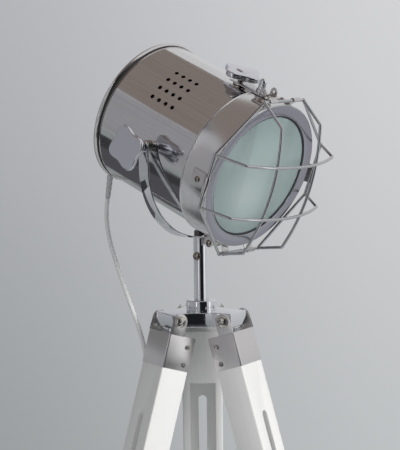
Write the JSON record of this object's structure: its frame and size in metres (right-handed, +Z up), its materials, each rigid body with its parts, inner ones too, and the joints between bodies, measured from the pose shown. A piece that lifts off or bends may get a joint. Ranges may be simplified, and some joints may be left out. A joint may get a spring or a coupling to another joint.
{
  "type": "tripod spotlight floor lamp",
  "caption": "Drum-shaped spotlight head on a tilting yoke, over a folding tripod with telescopic wooden legs, a hinged guarded front and a cord with a foot switch.",
  "frame": {"origin": "middle of the footprint of the three feet, on the floor", "axes": "+Z up, the rear leg towards +Y, the two front legs towards -Y, left (-X) and right (+X)"},
  "size_m": [0.669, 0.5736, 1.4982],
  "materials": {
    "cast_alloy": "cast and lacquered, satin",
    "chromed_steel": "bright chrome",
    "nickel_steel": "dull nickel",
    "dark_steel": "dark zinc",
    "shell_steel": "polished, warm tint",
    "band_steel": "polished",
    "bezel_grey": "satin grey",
    "frosted_glass": "frosted",
    "bulb_glass": "opal",
    "white_wood": "white paint",
    "black_rubber": "matt",
    "grey_rubber": "satin",
    "grey_plastic": "satin",
    "cream_plastic": "gloss",
    "white_cord": "satin",
    "white_plastic": "gloss",
    "black_plastic": "matt"
  },
  "bodies": {
    "stand": {"hub": "cast_alloy", "collar": "cast_alloy", "stem_tube": "chromed_steel", "set_screw": "dark_steel", "leg_pivot_bolts": "nickel_steel", "cord_drop": "white_cord", "switch_base": "grey_plastic", "switch_cover": "white_plastic", "cord_floor": "white_cord", "cord_coil": "white_cord", "coil_tie": "black_plastic", "plug": "white_plastic"},
    "switch_push": {"switch_button": "white_plastic"},
    "swivel": {"yoke": "chromed_steel", "swivel_stub": "nickel_steel", "yoke_nut": "dark_steel", "cord_upper": "white_cord"},
    "head": {"head_shell": "shell_steel", "rear_cover": "shell_steel", "pivot_bolts": "nickel_steel", "lampholder": "cream_plastic", "bulb": "bulb_glass", "cable_entry": "grey_plastic", "strain_relief": "grey_rubber", "hinge_bracket": "nickel_steel", "hinge_pin": "dark_steel", "latch_stud": "nickel_steel"},
    "door": {"front_band": "band_steel", "bezel_ring": "bezel_grey", "glass": "frosted_glass", "guard": "chromed_steel", "guard_clips": "nickel_steel", "door_screws": "dark_steel", "hinge_leaf": "nickel_steel", "latch_strap": "nickel_steel", "latch_post": "chromed_steel"},
    "left_tilt_knob": {"tilt_knob_left": "cast_alloy"},
    "right_tilt_knob": {"tilt_knob_right": "cast_alloy"},
    "door_knob": {"latch_knob": "cast_alloy"},
    "leg_left": {"leg_cap_left": "nickel_steel", "cap_screws_left": "dark_steel", "upper_leg_left": "white_wood"},
    "leg_end_left": {"lower_leg_left": "white_wood", "clamp_bolt_left": "nickel_steel", "foot_left": "black_rubber"},
    "clamp_left": {"clamp_knob_left": "cast_alloy"},
    "leg_right": {"leg_cap_right": "nickel_steel", "cap_screws_right": "dark_steel", "upper_leg_right": "white_wood"},
    "leg_end_right": {"lower_leg_right": "white_wood", "clamp_bolt_right": "nickel_steel", "foot_right": "black_rubber"},
    "clamp_right": {"clamp_knob_right": "cast_alloy"},
    "leg_rear": {"leg_cap_rear": "nickel_steel", "cap_screws_rear": "dark_steel", "upper_leg_rear": "white_wood"},
    "leg_end_rear": {"lower_leg_rear": "white_wood", "clamp_bolt_rear": "nickel_steel", "foot_rear": "black_rubber"},
    "clamp_rear": {"clamp_knob_rear": "cast_alloy"}
  },
  "joints": [
    {"name": "head_pan", "type": "hinge", "parent": "stand", "child": "swivel", "pos_m": [0, -0.08405, 1.236], "axis": [0, 0, 1], "range_deg": [-60, 60], "deforming": ["cord_drop"]},
    {"name": "head_tilt", "type": "hinge", "parent": "swivel", "child": "head", "pos_m": [0, -0.08405, 1.366], "axis": [0.6626, 0.749, 0], "range_deg": [-50, 1.5], "deforming": ["cord_upper"]},
    {"name": "door_hinge", "type": "hinge", "parent": "head", "child": "door", "pos_m": [0.01856, -0.10047, 1.2298], "axis": [0.6626, 0.749, 0], "range_deg": [0, 76]},
    {"name": "left_tilt_knob_turn", "type": "hinge", "parent": "head", "child": "left_tilt_knob", "pos_m": [-0.09277, -0.1889, 1.366], "axis": [0.6626, 0.749, 0], "continuous": true},
    {"name": "right_tilt_knob_turn", "type": "hinge", "parent": "head", "child": "right_tilt_knob", "pos_m": [0.09277, 0.02081, 1.366], "axis": [0.6626, 0.749, 0], "continuous": true},
    {"name": "latch_knob_turn", "type": "hinge", "parent": "head", "child": "door_knob", "pos_m": [0.05794, -0.13531, 1.45338], "axis": [0.2806, -0.2482, 0.9272], "continuous": true},
    {"name": "foot_switch_press", "type": "slide", "parent": "stand", "child": "switch_push", "axis": [0, 0, -1], "range_m": [0, 0.004], "stiffness_N_per_m": 400, "springref_m": -0.001},
    {"name": "leg_fold_left", "type": "hinge", "parent": "stand", "child": "leg_left", "pos_m": [-0.04244, -0.10855, 1.126], "axis": [0.5, -0.866, 0], "range_deg": [0, 15.5]},
    {"name": "leg_slide_left", "type": "slide", "parent": "leg_left", "child": "leg_end_left", "axis": [-0.2387, -0.1378, -0.9613], "range_m": [-0.43, 0.055]},
    {"name": "clamp_turn_left", "type": "hinge", "parent": "leg_end_left", "child": "clamp_left", "pos_m": [-0.1986, -0.19871, 0.58057], "axis": [-0.8325, -0.4806, 0.2756], "continuous": true},
    {"name": "leg_fold_right", "type": "hinge", "parent": "stand", "child": "leg_right", "pos_m": [0.04244, -0.10855, 1.126], "axis": [0.5, 0.866, 0], "range_deg": [0, 15.5]},
    {"name": "leg_slide_right", "type": "slide", "parent": "leg_right", "child": "leg_end_right", "axis": [0.2387, -0.1378, -0.9613], "range_m": [-0.43, 0.055]},
    {"name": "clamp_turn_right", "type": "hinge", "parent": "leg_end_right", "child": "clamp_right", "pos_m": [0.1986, -0.19871, 0.58057], "axis": [0.8325, -0.4806, 0.2756], "continuous": true},
    {"name": "leg_fold_rear", "type": "hinge", "parent": "stand", "child": "leg_rear", "pos_m": [0, -0.03505, 1.126], "axis": [-1, 0, 0], "range_deg": [0, 15.5]},
    {"name": "leg_slide_rear", "type": "slide", "parent": "leg_rear", "child": "leg_end_rear", "axis": [0, 0.2756, -0.9613], "range_m": [-0.43, 0.055]},
    {"name": "clamp_turn_rear", "type": "hinge", "parent": "leg_end_rear", "child": "clamp_rear", "pos_m": [0, 0.14528, 0.58057], "axis": [0, 0.9613, 0.2756], "continuous": true}
  ]
}
